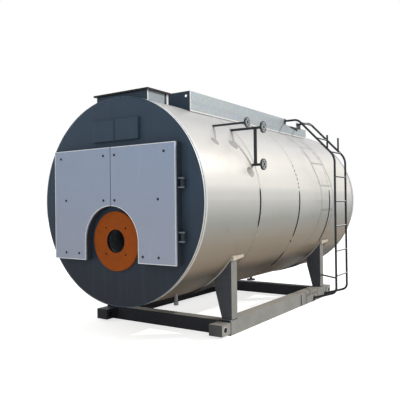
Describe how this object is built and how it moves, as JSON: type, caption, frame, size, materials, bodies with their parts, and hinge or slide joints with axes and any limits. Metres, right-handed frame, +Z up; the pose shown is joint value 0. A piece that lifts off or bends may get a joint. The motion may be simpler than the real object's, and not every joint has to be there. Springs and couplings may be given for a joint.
{
  "type": "industrial boiler",
  "caption": "Horizontal fire-tube boiler in stainless cladding on a skid, with hinged smokebox doors round a burner flange, a walkway and a ladder.",
  "frame": {"origin": "on the floor under the middle of the front cross beam", "axes": "+X to the right seen from the burner end, +Y from the burner end to the rear, +Z up"},
  "size_m": [2.1471, 4.101, 2.432],
  "materials": {
    "slate_paint": "satin slate blue paint",
    "stainless_cladding": "bright rolled stainless sheet",
    "cover_paint": "satin pale blue-grey paint",
    "burner_orange": "satin orange primer",
    "galvanised_sheet": "dull galvanised sheet",
    "black_paint": "satin black paint",
    "sooted_steel": "sooted bare steel",
    "refractory": "cast refractory"
  },
  "bodies": {
    "boiler": {"burner_flange": "burner_orange", "burner_tunnel": "refractory", "cladding_sheet_1": "stainless_cladding", "cladding_sheet_2": "stainless_cladding", "cladding_sheet_3": "stainless_cladding", "cladding_sheet_4": "stainless_cladding", "drain_fittings": "slate_paint", "drum": "sooted_steel", "end_rims": "stainless_cladding", "end_stubs": "slate_paint", "flue_flange": "black_paint", "flue_outlet": "galvanised_sheet", "front_cross_beam": "slate_paint", "front_left_leg": "slate_paint", "front_plate": "slate_paint", "front_right_leg": "slate_paint", "front_saddle_pad": "slate_paint", "gauge_pipe": "slate_paint", "hinge_brackets": "slate_paint", "ladder_brace": "slate_paint", "ladder_rungs": "slate_paint", "ladder_stiles": "slate_paint", "left_rail": "slate_paint", "rear_cover": "slate_paint", "rear_cross_beam": "slate_paint", "rear_left_leg": "slate_paint", "rear_plate": "slate_paint", "rear_right_leg": "slate_paint", "rear_saddle_pad": "slate_paint", "right_rail": "slate_paint", "safety_necks": "slate_paint", "smokebox_shell": "sooted_steel", "steam_neck": "slate_paint", "tube_plate": "sooted_steel", "upper_covers": "slate_paint", "walkway_deck": "galvanised_sheet", "walkway_front": "slate_paint", "walkway_left": "galvanised_sheet", "walkway_rear": "slate_paint", "walkway_right": "galvanised_sheet", "water_column": "slate_paint"},
    "left_door": {"left_door": "slate_paint", "left_door_cover": "cover_paint"},
    "right_door": {"right_door": "slate_paint", "right_door_cover": "cover_paint"}
  },
  "joints": [
    {"name": "right_door_hinge", "type": "hinge", "parent": "boiler", "child": "right_door", "pos_m": [0.801, -0.805, 1.325], "axis": [0, 0, 1], "range_deg": [0, 110]},
    {"name": "left_door_hinge", "type": "hinge", "parent": "boiler", "child": "left_door", "pos_m": [-0.801, -0.805, 1.325], "axis": [0, 0, -1], "range_deg": [0, 110]}
  ]
}
